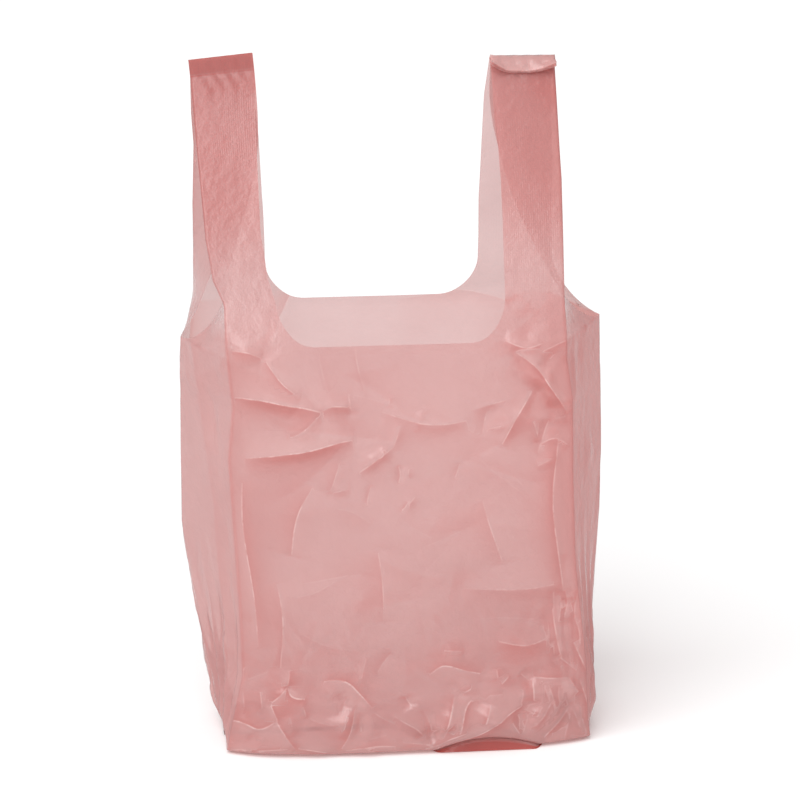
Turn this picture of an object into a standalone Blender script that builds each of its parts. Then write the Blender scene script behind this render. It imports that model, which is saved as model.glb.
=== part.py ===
"""A tie-handle nappy sack of thin pink film, opened and standing on its gathered base.

One blown tube with a fold down each side, sealed across the bottom and across the top of each
handle, with the opening cut through all its layers between the handles. It is one piece.
Metres, +Z up. The origin is on the ground under the middle of the base, and the front faces -Y.
"""

import math
from collections import namedtuple

import bmesh
import bpy
from mathutils import Matrix, Vector

MM = 0.001

# The flat pattern, as the sack leaves the machine
FACE_WIDTH = 180 * MM            # front or back panel, fold to fold
GUSSET_WIDTH = 60 * MM           # one half of a side gusset, corner fold to centre fold
BODY_LENGTH = 262 * MM           # bottom seal to the rim of the mouth
HANDLE_LENGTH = 158 * MM         # rim of the mouth to the top of the handles
HANDLE_WIDTH = 33 * MM
CUTOUT_RADIUS = 24 * MM          # corner of the cut between the handles
TOP_SEAL_BAND = 8.5 * MM
BOTTOM_SEAL_BAND = 6 * MM

# The film is modelled far thicker than the real one, with room between folded layers
FILM = 0.3 * MM
LAYER_GAP = 0.4 * MM
LAYERS_IN_HANDLE = 4
SEAL_GRIP = 1 * MM               # how far the layers run into a handle's seal
SEAL_OVERHANG = 1.5 * MM         # the bottom seal runs this much past the corner folds
SEAL_FOOT = 0.05 * MM            # and reaches this much lower than the film beside it

# How it stands once it is pulled open
BASE_DEPTH = 72 * MM             # front to back on the ground
MOUTH_DEPTH = 113 * MM           # front to back at the rim
GUSSET_SPREAD_TOP = 20 * MM      # how far the side's centre fold stands out at the rim
GUSSET_SPREAD_MIDDLE = 23 * MM
GUSSET_SPREAD_BASE = 9 * MM
BELLY_HEIGHT = 0.5               # share of the wall's height where the sides stand out furthest
LEFT_HANDLE_LEAN = math.radians(5.5)
RIGHT_HANDLE_LEAN = math.radians(-0.5)
LEAN_SETTLES = 0.5               # share of a handle's length over which it turns to its lean
LEFT_HANDLE_SLACK = 7 * MM       # the left handle stands this much lower than its length allows
RIGHT_SEAL_BEND = math.radians(104)
BODY_LEAN = -5 * MM              # the mouth stands this far to the side of the base
FACE_BULGE = 5 * MM
GATHER_LENGTH = 30 * MM          # one pleat of the gathered sides, across
GATHER_DEPTH = 5.5 * MM
GATHER_ON_GROUND = 0.6 * MM
GATHER_TOP = 150 * MM            # film length at which the gathers have faded out

# Spacing of the mesh
CELL = 11 * MM
BODY_CELL = 12 * MM
ARC_CELLS = 3
CORNER_ZONE = 22 * MM            # film below the rim where the rows bend round the cut's corners
CORNER_ZONE_CELLS = 4
BASE_CELLS = 3

# Creases of the standing sack: where each starts and ends on a panel, as the distance from the
# panel's centre line and the film length above the bottom seal, then its width and its depth
CREASE_FADE = 20 * MM            # creases die out this far from a corner fold or the ground
Crease = namedtuple("Crease", "panel start end width depth")
CREASES = [
    Crease("front", (58 * MM, 290 * MM), (80 * MM, 230 * MM), 8 * MM, 4 * MM),
    Crease("front", (-80 * MM, 236 * MM), (-30 * MM, 228 * MM), 9 * MM, 3 * MM),
    Crease("front", (-80 * MM, 205 * MM), (-20 * MM, 216 * MM), 9 * MM, -3 * MM),
    Crease("front", (44 * MM, 222 * MM), (76 * MM, 230 * MM), 8 * MM, -4 * MM),
    Crease("front", (16 * MM, 100 * MM), (34 * MM, 48 * MM), 7 * MM, 6 * MM),
    Crease("front", (36 * MM, 96 * MM), (52 * MM, 56 * MM), 7 * MM, -5 * MM),
    Crease("front", (36 * MM, 50 * MM), (70 * MM, 72 * MM), 7 * MM, 7 * MM),
    Crease("front", (-70 * MM, 52 * MM), (-42 * MM, 66 * MM), 7 * MM, 7 * MM),
    Crease("front", (-68 * MM, 88 * MM), (-52 * MM, 70 * MM), 7 * MM, -6 * MM),
    Crease("front", (-42 * MM, 66 * MM), (-8 * MM, 46 * MM), 7 * MM, 6 * MM),
    Crease("front", (-20 * MM, 84 * MM), (8 * MM, 72 * MM), 8 * MM, -4 * MM),
    Crease("back", (-62 * MM, 92 * MM), (-34 * MM, 50 * MM), 8 * MM, 6 * MM),
    Crease("back", (10 * MM, 54 * MM), (62 * MM, 66 * MM), 8 * MM, 6 * MM),
    Crease("back", (-30 * MM, 80 * MM), (6 * MM, 92 * MM), 8 * MM, -5 * MM),
    Crease("back", (-70 * MM, 200 * MM), (-10 * MM, 190 * MM), 10 * MM, -3 * MM),
    Crease("back", (20 * MM, 120 * MM), (68 * MM, 134 * MM), 10 * MM, 3 * MM),
]

FILM_COLOUR = (0.71, 0.36, 0.35, 1.0)
FOLD_ANGLE = math.radians(35)    # sharper edges than this are shaded as folds

HALF_FACE = FACE_WIDTH / 2
HALF_BASE = BASE_DEPTH / 2
HALF_MOUTH = MOUTH_DEPTH / 2
WALL_LENGTH = BODY_LENGTH - HALF_BASE
RIM_HEIGHT = math.sqrt(WALL_LENGTH ** 2 - (HALF_MOUTH - HALF_BASE) ** 2)
LAYER_PITCH = FILM + LAYER_GAP
HALF_STACK = (LAYERS_IN_HANDLE - 1) / 2 * LAYER_PITCH
STRAP_LENGTH = HANDLE_LENGTH - TOP_SEAL_BAND
STRAP_RISE = math.sqrt(STRAP_LENGTH ** 2 - (HALF_MOUTH - HALF_STACK) ** 2)
GROUND_LEVEL = FILM / 2 + SEAL_FOOT
BAND_START = BODY_LENGTH + STRAP_LENGTH
HANDLE_CENTRE = HALF_FACE - HANDLE_WIDTH / 2
SEAL_THICKNESS = LAYERS_IN_HANDLE * LAYER_PITCH

Column = namedtuple("Column", "panel side face across")
LEANS = {-1: LEFT_HANDLE_LEAN, 1: RIGHT_HANDLE_LEAN}


def mix(a, b, share):
    return a + (b - a) * share


def smooth(share):
    share = min(max(share, 0.0), 1.0)
    return share * share * (3 - 2 * share)


def steps(start, end, cell):
    """Even stops from start to end, about a cell apart, without the first."""
    count = max(1, round(abs(end - start) / cell))
    return [mix(start, end, (i + 1) / count) for i in range(count)]


def cut_stops(width):
    """Distances in from a corner fold: across the handle, round the cut's corner, and on."""
    stops = [0.0] + steps(0.0, HANDLE_WIDTH, CELL)
    for i in range(ARC_CELLS):
        angle = (i + 1) / ARC_CELLS * math.pi / 2
        stops.append(HANDLE_WIDTH + CUTOUT_RADIUS * (1 - math.cos(angle)))
    stops = [stop for stop in stops if stop < width - FILM]
    return stops + steps(stops[-1], width, CELL)


def film_top(across):
    """Film length at which a column leaves the body: the cut's edge, or the handle's root."""
    if across <= HANDLE_WIDTH:
        return BODY_LENGTH + CUTOUT_RADIUS
    if across >= HANDLE_WIDTH + CUTOUT_RADIUS:
        return BODY_LENGTH
    reach = (across - HANDLE_WIDTH) / CUTOUT_RADIUS
    return BODY_LENGTH + CUTOUT_RADIUS * (1 - math.sin(math.acos(1 - reach)))


def columns():
    """The tube's columns in order round it, from the front panel's middle back to it."""
    in_face = cut_stops(HALF_FACE)
    in_gusset = cut_stops(GUSSET_WIDTH)
    ring = []
    for side, face in ((1, -1), (1, 1), (-1, 1), (-1, -1)):
        quarter = [Column("face", side, face, across) for across in reversed(in_face)]
        quarter += [Column("gusset", side, face, across) for across in in_gusset]
        if side * face > 0:
            quarter.reverse()
        ring += quarter[:-1]
    return ring


def body_rows(across):
    """Film lengths of a column's rows, from the bottom seal to where it leaves the body."""
    rows = [0.0]
    for i in range(BASE_CELLS):
        rows.append(HALF_BASE * (i + 1) / BASE_CELLS)
    rows += steps(HALF_BASE, BODY_LENGTH - CORNER_ZONE, BODY_CELL)
    for i in range(CORNER_ZONE_CELLS):
        share = (i + 1) / CORNER_ZONE_CELLS
        rows.append(mix(BODY_LENGTH - CORNER_ZONE, film_top(across), share))
    return rows


def handle_rows():
    return steps(BODY_LENGTH + CUTOUT_RADIUS, BAND_START + SEAL_GRIP, CELL)


def wall(film_length):
    """Half depth and height of the front or back panel's plane at a film length."""
    if film_length <= HALF_BASE:
        return film_length, GROUND_LEVEL
    if film_length <= BODY_LENGTH:
        share = (film_length - HALF_BASE) / WALL_LENGTH
        return mix(HALF_BASE, HALF_MOUTH, share), GROUND_LEVEL + RIM_HEIGHT * share
    share = min((film_length - BODY_LENGTH) / STRAP_LENGTH, 1.0)
    in_band = max(film_length - BAND_START, 0.0)
    rise = RIM_HEIGHT + STRAP_RISE * share + in_band
    return mix(HALF_MOUTH, HALF_STACK, share), GROUND_LEVEL + rise


def spread(film_length):
    """How far the side's centre fold stands out past the corner folds."""
    if film_length < HALF_BASE:
        return GUSSET_SPREAD_BASE
    share = min((film_length - HALF_BASE) / WALL_LENGTH, 1.0)
    rise = smooth(share / BELLY_HEIGHT)
    ease = smooth((share - BELLY_HEIGHT) / (1 - BELLY_HEIGHT))
    return mix(mix(GUSSET_SPREAD_BASE, GUSSET_SPREAD_MIDDLE, rise), GUSSET_SPREAD_TOP, ease)


def gather_depth(film_length):
    """Depth of the pleats down a side: pressed flat by the ground, and faded out higher up."""
    above = film_length - HALF_BASE
    swell = mix(GATHER_ON_GROUND, GATHER_DEPTH, smooth(above / GATHER_LENGTH))
    return swell * (1 - smooth(above / (GATHER_TOP - HALF_BASE)))


def crease_offset(panel, x, film_length):
    """Sum of the creases' depths at a point of a panel."""
    offset = 0.0
    for crease in CREASES:
        if crease.panel != panel:
            continue
        start = Vector(crease.start)
        along = Vector(crease.end) - start
        point = Vector((x, film_length))
        share = min(max((point - start).dot(along) / along.length_squared, 0.0), 1.0)
        distance = (point - start - along * share).length
        offset += crease.depth * math.exp(-(distance / crease.width) ** 2)
    return offset


def lean(side, x, z, film_length):
    """Swings a handle over to the side above its root, with the body's own slight lean."""
    share = min(max((film_length - BODY_LENGTH) / HANDLE_LENGTH, 0.0), 1.0)
    bend = min(share / LEAN_SETTLES, 1.0)
    angle = LEANS[side] * smooth(bend)
    drift = LEAN_SETTLES * (bend ** 3 - bend ** 4 / 2) + max(share - LEAN_SETTLES, 0.0)
    middle = side * HANDLE_CENTRE
    x_new = middle + (x - middle) * math.cos(angle)
    x_new -= math.sin(LEANS[side]) * HANDLE_LENGTH * drift
    z_new = z + (x - middle) * math.sin(angle)
    if side < 0:
        z_new -= LEFT_HANDLE_SLACK * smooth(share)
    body_share = min(z / RIM_HEIGHT, 1.0)
    return x_new + BODY_LEAN * body_share, z_new


def face_point(side, face, across, film_length):
    """A point of the front panel (face -1) or the back panel (face 1)."""
    depth, z = wall(film_length)
    x = side * (HALF_FACE - across)
    on_wall = math.sin(math.pi * min(max((film_length - HALF_BASE) / WALL_LENGTH, 0.0), 1.0))
    bulge = FACE_BULGE * on_wall * (1 - (x / HALF_FACE) ** 2)
    panel = "front" if face < 0 else "back"
    held = smooth((film_length - HALF_BASE) / CREASE_FADE) * smooth(across / CREASE_FADE)
    y = face * (max(depth, FILM) + bulge + held * crease_offset(panel, x, film_length))
    x, z = lean(side, x, z, film_length)
    return Vector((x, y, z))


def gusset_point(side, face, across, film_length):
    """A point of one half of a side gusset, which swings in behind its handle above the rim."""
    if film_length < HALF_BASE:
        edge = gusset_point(side, face, across, HALF_BASE)
        seal_end = Vector((side * (HALF_FACE + FILM), face * FILM, GROUND_LEVEL))
        tip = seal_end + (edge - seal_end) * (FILM / HALF_BASE)
        return tip.lerp(edge, film_length / HALF_BASE)
    depth, z = wall(film_length)
    swing = min(max((film_length - BODY_LENGTH) / STRAP_LENGTH, 0.0), 1.0)
    swing = math.sin(swing * math.pi / 2)
    to_centre = Vector((spread(film_length), depth))
    fold_turn = mix(math.atan2(to_centre.y, to_centre.x), math.pi, swing) / 2
    fold = LAYER_PITCH * Vector((math.cos(fold_turn), math.sin(fold_turn)))
    across_panel = to_centre - fold
    angle = mix(math.atan2(across_panel.y, across_panel.x), math.pi, swing)
    run = across * mix(across_panel.length / GUSSET_WIDTH, 1.0, smooth(swing))
    pleat = gather_depth(film_length) * math.sin(2 * math.pi * across / GATHER_LENGTH)
    outward = fold.x + run * math.cos(angle) + pleat * math.sin(angle)
    inward = fold.y + run * math.sin(angle) - pleat * math.cos(angle)
    x, z = lean(side, side * (HALF_FACE + outward), z, film_length)
    return Vector((x, face * (depth - inward), z))


def film_point(column, film_length):
    place = face_point if column.panel == "face" else gusset_point
    return place(column.side, column.face, column.across, film_length)


def build_film():
    """The whole film as one open surface: the tube of the body, then the eight handle strips."""
    film = bmesh.new()
    ring = columns()
    grid = []
    for column in ring:
        line = [film.verts.new(film_point(column, v)) for v in body_rows(column.across)]
        if column.across <= HANDLE_WIDTH:
            line += [film.verts.new(film_point(column, v)) for v in handle_rows()]
        grid.append(line)
    for i, line in enumerate(grid):
        after = grid[(i + 1) % len(grid)]
        for j in range(min(len(line), len(after)) - 1):
            film.faces.new((line[j], after[j], after[j + 1], line[j + 1]))
    bmesh.ops.recalc_face_normals(film, faces=film.faces)
    mesh = bpy.data.meshes.new("sack")
    film.to_mesh(mesh)
    film.free()
    return mesh


def seal_bar(name, size, matrix, collection):
    """A solid bar in the shape of a heat seal, to be united with the film."""
    bpy.ops.mesh.primitive_cube_add(size=1)
    bar = bpy.context.object
    bar.name = name
    bar.data.transform(Matrix.Diagonal((*size, 1)))
    bar.matrix_world = matrix
    bevel = bar.modifiers.new("rounded", "BEVEL")
    bevel.width = FILM
    bevel.segments = 1
    bar.display_type = "WIRE"
    bar.hide_render = True
    for owner in bar.users_collection:
        owner.objects.unlink(bar)
    collection.objects.link(bar)
    return bar


def handle_seal_matrix(side, bend):
    """The middle of a handle's seal, turned with the handle and bent over towards the front."""
    x, z = lean(side, side * HANDLE_CENTRE, wall(BAND_START)[1], BAND_START)
    turn = Matrix.Rotation(-LEANS[side], 4, "Y") @ Matrix.Rotation(bend, 4, "X")
    root = SEAL_THICKNESS / 2 * math.sin(bend)
    to_middle = Matrix.Translation((0, 0, TOP_SEAL_BAND / 2 - root))
    return Matrix.Translation((x, 0, z)) @ turn @ to_middle


def film_material():
    material = bpy.data.materials.new("pink_film")
    material.use_nodes = True
    shader = material.node_tree.nodes["Principled BSDF"]
    shader.inputs["Base Color"].default_value = FILM_COLOUR
    shader.inputs["Roughness"].default_value = 0.35
    shader.inputs["Metallic"].default_value = 0.0
    return material


def build_sack():
    parts = bpy.data.collections.new("nappy_sack")
    tools = bpy.data.collections.new("seal_shapes")
    bpy.context.scene.collection.children.link(parts)
    bpy.context.scene.collection.children.link(tools)

    sack = bpy.data.objects.new("sack", build_film())
    parts.objects.link(sack)
    sack.data.materials.append(film_material())
    shell = sack.modifiers.new("film", "SOLIDIFY")
    shell.thickness = FILM
    shell.offset = 0

    bar_height = SEAL_THICKNESS / 2
    bottom = Matrix.Translation((0, 0, bar_height / 2))
    handle_size = (HANDLE_WIDTH + LAYER_PITCH, SEAL_THICKNESS, TOP_SEAL_BAND)
    bottom_size = (FACE_WIDTH + 2 * SEAL_OVERHANG, BOTTOM_SEAL_BAND, bar_height)
    bars = [
        seal_bar("bottom_seal", bottom_size, bottom, tools),
        seal_bar("left_seal", handle_size, handle_seal_matrix(-1, 0.0), tools),
        seal_bar("right_seal", handle_size, handle_seal_matrix(1, RIGHT_SEAL_BEND), tools),
    ]
    for bar in bars:
        joint = sack.modifiers.new(bar.name, "BOOLEAN")
        joint.operation = "UNION"
        joint.solver = "EXACT"
        joint.object = bar
    sack.data.shade_smooth()
    sack.data.set_sharp_from_angle(angle=FOLD_ANGLE)
    return sack


for old in list(bpy.data.objects):
    bpy.data.objects.remove(old, do_unlink=True)
build_sack()
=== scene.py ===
# %% [markdown]
# # A nappy sack of thin pink film
#
# The real sack is one piece. A tube of soft plastic film is blown, pressed flat with a fold pushed
# in down each side, welded across the bottom and across the top of both handles, and cut out
# between the handles through all its layers. Here it stands pulled open on its gathered base.
#
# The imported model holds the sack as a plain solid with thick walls. This script hides that solid
# and puts in its place the film itself: a single surface without thickness that lets part of the
# light through. Where layers lie over each other the pink deepens by itself, as it does on the real
# sack.

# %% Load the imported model
import math
import random
from collections import namedtuple

import bpy
import numpy as np
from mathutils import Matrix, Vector


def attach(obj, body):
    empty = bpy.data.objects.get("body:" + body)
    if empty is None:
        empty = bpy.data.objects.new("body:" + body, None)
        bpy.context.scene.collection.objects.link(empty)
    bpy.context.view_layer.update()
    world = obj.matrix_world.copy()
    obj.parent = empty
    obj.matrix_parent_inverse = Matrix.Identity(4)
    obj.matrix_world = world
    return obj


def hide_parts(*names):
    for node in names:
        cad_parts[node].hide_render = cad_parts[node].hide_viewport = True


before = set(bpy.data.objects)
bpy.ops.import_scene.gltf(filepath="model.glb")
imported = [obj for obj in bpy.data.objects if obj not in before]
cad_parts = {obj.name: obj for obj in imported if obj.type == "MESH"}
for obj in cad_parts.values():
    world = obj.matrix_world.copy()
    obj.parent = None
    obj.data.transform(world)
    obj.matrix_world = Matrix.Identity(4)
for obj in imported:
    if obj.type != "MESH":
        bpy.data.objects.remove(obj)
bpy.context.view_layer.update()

# %% [markdown]
# ## The flat pattern
#
# Film can bend, but it can't stretch. So the sack is described by its flat pattern, and every
# point of the film keeps two numbers: how far across its panel it lies, and how far up the film
# it lies from the bottom weld. All folds and creases are then laid over that pattern.

# %% Sizes of the flat pattern
MM = 0.001
FACE_WIDTH = 180 * MM
GUSSET_WIDTH = 60 * MM
BODY_LENGTH = 262 * MM
HANDLE_LENGTH = 158 * MM
HANDLE_WIDTH = 33 * MM
CUTOUT_RADIUS = 24 * MM
TOP_WELD_BAND = 8.5 * MM
BOTTOM_WELD_BAND = 6 * MM

BASE_DEPTH = 72 * MM
MOUTH_DEPTH = 113 * MM
LAYER_PITCH = 0.7 * MM
GROUND_LEVEL = 0.3 * MM

HALF_FACE = FACE_WIDTH / 2
HALF_BASE = BASE_DEPTH / 2
HALF_MOUTH = MOUTH_DEPTH / 2
HALF_STACK = 1.5 * LAYER_PITCH
WALL_LENGTH = BODY_LENGTH - HALF_BASE
RIM_HEIGHT = math.sqrt(WALL_LENGTH ** 2 - (HALF_MOUTH - HALF_BASE) ** 2)
STRAP_LENGTH = HANDLE_LENGTH - TOP_WELD_BAND
STRAP_RISE = math.sqrt(STRAP_LENGTH ** 2 - (HALF_MOUTH - HALF_STACK) ** 2)
WELD_LINE = BODY_LENGTH + STRAP_LENGTH
FILM_END = BODY_LENGTH + HANDLE_LENGTH
GIRTH = 2 * FACE_WIDTH + 4 * GUSSET_WIDTH
HANDLE_CENTRE = HALF_FACE - HANDLE_WIDTH / 2
print(f"flat tube {GIRTH / MM:.0f} mm round, film {FILM_END / MM:.0f} mm long")

# %% [markdown]
# ## A grid on the film
#
# A grid that follows the film is better here than a remeshed lump: its rows bend round the corners
# of the cut, so the cut's edge is clean, and its columns run along the folds, so a fold is sharp.
# The cells are about 1.5 mm, or three pixels, which is what a soft crease needs to look round.

# %% Stops of the grid's columns and rows
CELL = 1.48 * MM
WELD_CELL = 2 * MM
ARC_CELLS = 16
CORNER_ZONE = 22 * MM
Column = namedtuple("Column", "gusset side face across")


def steps(start, end, cell):
    count = max(1, round(abs(end - start) / cell))
    return [start + (end - start) * (i + 1) / count for i in range(count)]


def cut_stops(width):
    """Distances in from a corner fold: across the handle, round the cut's corner, and on."""
    stops = [0.0] + steps(0.0, HANDLE_WIDTH, CELL)
    for i in range(ARC_CELLS):
        angle = (i + 1) / ARC_CELLS * math.pi / 2
        stops.append(HANDLE_WIDTH + CUTOUT_RADIUS * (1 - math.cos(angle)))
    return stops + steps(stops[-1], width, CELL)


def ring_columns():
    """The tube's columns in order round it, starting at the front panel's middle."""
    ring = []
    for side, face in ((1, -1), (1, 1), (-1, 1), (-1, -1)):
        quarter = [Column(0, side, face, across) for across in reversed(cut_stops(HALF_FACE))]
        quarter += [Column(1, side, face, across) for across in cut_stops(GUSSET_WIDTH)]
        if side * face > 0:
            quarter.reverse()
        ring += quarter[:-1]
    return ring


def film_top(across):
    """Film length at which a column leaves the body: the cut's edge, or the handle's root."""
    if across <= HANDLE_WIDTH:
        return BODY_LENGTH + CUTOUT_RADIUS
    if across >= HANDLE_WIDTH + CUTOUT_RADIUS:
        return BODY_LENGTH
    reach = (across - HANDLE_WIDTH) / CUTOUT_RADIUS
    return BODY_LENGTH + CUTOUT_RADIUS * (1 - math.sin(math.acos(1 - reach)))


def column_rows(across):
    rows = [-BOTTOM_WELD_BAND] + steps(-BOTTOM_WELD_BAND, 0.0, WELD_CELL)
    rows += steps(0.0, BODY_LENGTH - CORNER_ZONE, CELL)
    share = np.linspace(0, 1, round((CORNER_ZONE + CUTOUT_RADIUS / 2) / CELL))[1:]
    rows += list(BODY_LENGTH - CORNER_ZONE + share * (film_top(across) - BODY_LENGTH + CORNER_ZONE))
    if across <= HANDLE_WIDTH:
        rows += steps(BODY_LENGTH + CUTOUT_RADIUS, WELD_LINE, CELL)
        rows += steps(WELD_LINE, FILM_END, CELL)
    return rows


ring = ring_columns()
lines = [column_rows(column.across) for column in ring]
print(f"{len(ring)} columns, {sum(map(len, lines))} points")

# %% [markdown]
# From here on the whole film is handled at once. Each array below holds one number for every point
# of the grid, so one line of arithmetic moves all the points.

# %% Every point of the grid as arrays
def per_point(values):
    return np.concatenate([np.full(len(line), value) for value, line in zip(values, lines)])


film_length = np.concatenate(lines)
in_gusset = per_point([float(column.gusset) for column in ring]) > 0.5
side = per_point([float(column.side) for column in ring])
face = per_point([float(column.face) for column in ring])
across = per_point([column.across for column in ring])
on_panel = side * (HALF_FACE - across)


def distance_round(column):
    """How far round the tube a column lies, from the middle of the right side's centre fold."""
    inward = GUSSET_WIDTH - column.across if column.gusset else GUSSET_WIDTH + column.across
    start = inward if column.face < 0 else -inward
    return start if column.side > 0 else GIRTH / 2 - start


round_tube = per_point([distance_round(column) for column in ring])

# %% [markdown]
# ## How the sack stands
#
# Seen from the side the film lies flat on the ground, turns up at the base's edge, leans out to the
# rim and leans back in to the top of the handles. The turns are rounded by averaging the profile
# over a few millimetres of film, which is how soft film turns a corner.

# %% Profile of the front and back
PROFILE_LENGTHS = [-BOTTOM_WELD_BAND, 0, HALF_BASE, BODY_LENGTH, WELD_LINE, FILM_END]
PROFILE_DEPTHS = [0, 0, HALF_BASE, HALF_MOUTH, HALF_STACK, HALF_STACK]
PROFILE_HEIGHTS = list(GROUND_LEVEL + np.array([
    0, 0, 0, RIM_HEIGHT, RIM_HEIGHT + STRAP_RISE, RIM_HEIGHT + STRAP_RISE + TOP_WELD_BAND]))
TURN_LENGTH = 5 * MM


def profile(length, values, turn=TURN_LENGTH):
    """A profile read at a film length, averaged a little way to both sides of it."""
    spots = [np.interp(length + turn * offset, PROFILE_LENGTHS, values)
             for offset in (-1, -0.5, 0, 0.5, 1)]
    return sum(spots) / len(spots)


def clamp(values):
    return np.clip(values, 0.0, 1.0)


def smooth(values):
    values = clamp(values)
    return values * values * (3 - 2 * values)


def mix(a, b, share):
    return a + (b - a) * share


near_weld = smooth((film_length - WELD_LINE + 3 * TURN_LENGTH) / (2 * TURN_LENGTH))
depth = mix(profile(film_length, PROFILE_DEPTHS),
            np.interp(film_length, PROFILE_LENGTHS, PROFILE_DEPTHS), near_weld)
height = mix(profile(film_length, PROFILE_HEIGHTS),
             np.interp(film_length, PROFILE_LENGTHS, PROFILE_HEIGHTS), near_weld)
on_wall = clamp((film_length - HALF_BASE) / WALL_LENGTH)
on_strap = clamp((film_length - BODY_LENGTH) / STRAP_LENGTH)
print(f"rim {RIM_HEIGHT / MM:.0f} mm up, handle tops {height.max() / MM:.0f} mm up")

# %% [markdown]
# ## Sides, corners and lean
#
# Each side stands out past the corner folds, most in its upper half, and runs in towards the base,
# where the spare film is gathered into upright pleats. The left handle leans outwards and hangs a
# little slack. The corner folds wander by a few millimetres on the way down and flare at the
# ground, as folds in soft film do.

# %% How far the sides stand out
# Heights above the ground, and how far the side stands out there, both in millimetres
LEFT_SPREAD = ([0, 7, 18, 35, 52, 69, 85, 119, 161, 225],
               [1, 2, 4, 6.5, 10.5, 15, 17.5, 20, 19, 17])
RIGHT_SPREAD = ([0, 18, 35, 85, 119, 150, 225], [15, 18, 18, 21, 24, 25, 24.5])


def by_side(left, right):
    return np.where(side < 0, left, right)


spread = by_side(np.interp(height / MM, *LEFT_SPREAD), np.interp(height / MM, *RIGHT_SPREAD)) * MM
print(f"sides stand out up to {spread.max() / MM:.0f} mm")

# %% How each corner fold wanders outwards on its way up the film
# For each corner: millimetres of film above the bottom weld, and the shift outwards there
CORNER_WANDER = {
    (-1, -1): ([36, 48, 81, 117, 157, 202, 230, 262, 285, 299, 322, 378, 411],
               [2, 0, -7.5, -7, -5.5, -3.6, -6.5, -4, -4, 1, 2.6, 0.5, -1]),
    (-1, 1): ([36, 80, 150, 200, 242, 269, 289, 309, 329, 369, 389, 411],
              [2, -2, 0, 5, 9, 6.5, 6.5, 6, 5, 1, 0.5, -1]),
    (1, -1): ([36, 48, 84, 123, 140, 185, 230, 252, 285, 347, 389, 411],
              [11.5, 10, 8.5, 4, 2.5, 1, 0.5, -2.6, -2.6, -1, -2, -2.4]),
    (1, 1): ([36, 84, 150, 220, 262, 300, 340, 389, 411],
             [8, 6, 3, 5, 6, 5, 2, -2, -2.4])}

corner_shift = np.zeros_like(film_length)
for (side_sign, face_sign), (lengths, shifts) in CORNER_WANDER.items():
    corner = (side == side_sign) & (face == face_sign)
    corner_shift[corner] = np.interp(film_length[corner] / MM, lengths, shifts) * MM
print(f"corners wander {corner_shift.min() / MM:.1f} to {corner_shift.max() / MM:.1f} mm")

# %% [markdown]
# At the front the cut is a little wider near the body than at the top, so each front band narrows
# towards its root and the cut's corners sit closer to the handles.

# %% How the cut's edge is drawn towards the handles
NARROWS_LENGTHS = [215, 255, 325, 390, 411]
HANDLE_NARROWS = {(-1, -1): [0, 5.8, 5.8, 1.6, 0], (-1, 1): [0, -3, -2, 0, 0],
                  (1, -1): [0, 2, 1.5, 0, -1.5], (1, 1): [0, -4, -5, -3, -1.5]}
CUT_WIDENS = 3.5 * MM
CUT_WIDENS_FROM = 190 * MM
CUT_WIDENS_OVER = 60 * MM

narrows = np.zeros_like(film_length)
for (side_sign, face_sign), amounts in HANDLE_NARROWS.items():
    band = (side == side_sign) & (face == face_sign)
    narrows[band] = np.interp(film_length[band] / MM, NARROWS_LENGTHS, amounts) * MM
past_cut = clamp((HALF_FACE - across) / (HALF_FACE - HANDLE_WIDTH - CUTOUT_RADIUS))
narrows *= np.minimum(across / HANDLE_WIDTH, 1.0) * past_cut
cut_pull = CUT_WIDENS * smooth((across - HANDLE_WIDTH) / CUTOUT_RADIUS) * past_cut
cut_pull *= smooth((film_length - CUT_WIDENS_FROM) / CUT_WIDENS_OVER)

# %% Lean of the handles and the body
LEFT_LEAN = math.radians(5.5)
RIGHT_LEAN = math.radians(-0.5)
LEFT_SLACK = 7 * MM
RIGHT_SLACK = 2 * MM
BODY_LEAN = -5 * MM
FACE_BULGE = 5 * MM


def lean(x, z):
    """Swings the handles over above their roots, and leans the body a little to the left."""
    share = clamp((film_length - BODY_LENGTH) / HANDLE_LENGTH)
    bend = np.minimum(share / 0.5, 1.0)
    angle = by_side(LEFT_LEAN, RIGHT_LEAN) * smooth(bend)
    # The handle bends over in its lower half and is straight above: this adds up both parts
    drift = 0.5 * (bend ** 3 - bend ** 4 / 2) + np.maximum(share - 0.5, 0.0)
    middle = side * HANDLE_CENTRE
    leaned_x = middle + (x - middle) * np.cos(angle)
    leaned_x = leaned_x - np.sin(by_side(LEFT_LEAN, RIGHT_LEAN)) * HANDLE_LENGTH * drift
    leaned_z = z + (x - middle) * np.sin(angle)
    leaned_z = leaned_z - by_side(LEFT_SLACK, RIGHT_SLACK) * smooth(share)
    return leaned_x + BODY_LEAN * np.minimum(z / RIM_HEIGHT, 1.0), leaned_z


# %% [markdown]
# ## Creases
#
# A crease in thin film is a ridge with a narrow crest. Its two flanks are seldom alike: one falls
# away steeply and lies in shade, the other slopes off slowly and catches the light. So a crease
# here is a line through a few points on the flat panel, a height, and a width for each flank. The
# shaded flank lies to the right of someone who walks along the line.
#
# The crest is sharper than any grid that is worth its size. So besides its height each crease
# leaves marks on the film: how far a place is from the crest, with a sign for its side, and how
# strongly it lies on a shaded or on a lit flank. From these marks the material paints shade on the
# shaded flank and light on the lit one. The distance changes evenly from point to point, and so
# the material can draw the crest sharply between the points. No crease in film is quite straight,
# so the places are shifted by a slow wave first, and every line bends a little.

# %% A crease and the height field that a list of them makes
Crease = namedtuple("Crease", "points height lit shaded")
CREST = 1.6 * MM
CREASE_BOW = 1.1 * MM
STEEPEST_FLANK = 0.6
# A crease of this height or more, in millimetres, has marks of full strength
FULL_HEIGHT = 3.5
FAR_FROM_CREST = 6.0
# How far a crease reaches, in widths of its wider flank
FLANK_REACH = 5
# The smaller these powers, the nearer to its ends a crease keeps its height and its marks
END_OF_HEIGHT = 0.7
END_OF_MARKS = 0.4
# The larger this power, the fainter the marks of a low crease
LOW_CREASES_FADE = 1.4


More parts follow.
